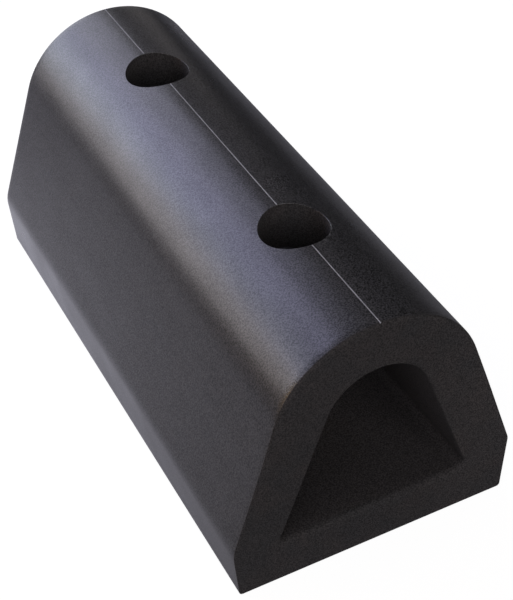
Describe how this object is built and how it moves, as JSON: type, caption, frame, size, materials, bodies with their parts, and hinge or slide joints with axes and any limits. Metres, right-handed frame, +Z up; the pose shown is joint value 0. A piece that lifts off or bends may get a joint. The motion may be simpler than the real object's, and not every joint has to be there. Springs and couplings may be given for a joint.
{
  "type": "rubber speed bump",
  "caption": "Hollow D-section rubber bumper or short speed bump with access holes in its crown over ground anchors in its base.",
  "frame": {"origin": "middle of the underside, on the ground", "axes": "+X across the section, +Y along the extrusion from the front end to the back, +Z up"},
  "size_m": [0.1234, 0.254, 0.115],
  "materials": {
    "black_rubber": "satin black extruded rubber with a fine grain, matte where it is cut",
    "guide_line": "matte pale grey line",
    "zinc_steel": "bright zinc plating",
    "spring_steel": "dark oiled spring steel",
    "passivated_steel": "yellow passivated zinc on pressed steel"
  },
  "bodies": {
    "bumper": {"rubber_body": "black_rubber", "centre_guide_line": "guide_line"},
    "near_anchor": {"near_spring_washer": "spring_steel", "near_flat_washer": "zinc_steel", "near_spacer_sleeve": "zinc_steel", "near_shield_ferrule": "passivated_steel", "near_retaining_ring": "spring_steel", "near_shield_segment_1": "passivated_steel", "near_shield_segment_2": "passivated_steel", "near_shield_segment_3": "passivated_steel", "near_shield_segment_4": "passivated_steel"},
    "near_bolt": {"near_hex_bolt": "zinc_steel"},
    "near_cone": {"near_cone_nut": "zinc_steel"},
    "far_anchor": {"far_spring_washer": "spring_steel", "far_flat_washer": "zinc_steel", "far_spacer_sleeve": "zinc_steel", "far_shield_ferrule": "passivated_steel", "far_retaining_ring": "spring_steel", "far_shield_segment_1": "passivated_steel", "far_shield_segment_2": "passivated_steel", "far_shield_segment_3": "passivated_steel", "far_shield_segment_4": "passivated_steel"},
    "far_bolt": {"far_hex_bolt": "zinc_steel"},
    "far_cone": {"far_cone_nut": "zinc_steel"}
  },
  "joints": [
    {"name": "near_anchor_drive", "type": "slide", "parent": "bumper", "child": "near_anchor", "axis": [0, 0, -1], "range_m": [0, 0.0519]},
    {"name": "near_bolt_turn", "type": "hinge", "parent": "near_anchor", "child": "near_bolt", "pos_m": [0, -0.062, 0.0775], "axis": [0, 0, -1], "range_deg": [0, 1080]},
    {"name": "near_cone_draw", "type": "slide", "parent": "near_anchor", "child": "near_cone", "axis": [0, 0, 1], "range_m": [0, 0.0045]},
    {"name": "far_anchor_drive", "type": "slide", "parent": "bumper", "child": "far_anchor", "axis": [0, 0, -1], "range_m": [0, 0.0519]},
    {"name": "far_bolt_turn", "type": "hinge", "parent": "far_anchor", "child": "far_bolt", "pos_m": [0, 0.0665, 0.0775], "axis": [0, 0, -1], "range_deg": [0, 1080]},
    {"name": "far_cone_draw", "type": "slide", "parent": "far_anchor", "child": "far_cone", "axis": [0, 0, 1], "range_m": [0, 0.0045]}
  ],
  "couplings": [
    {"joint": "near_cone_draw", "follows": "near_bolt_turn", "m_per_rad": 0.00023873},
    {"joint": "far_cone_draw", "follows": "far_bolt_turn", "m_per_rad": 0.00023873}
  ]
}
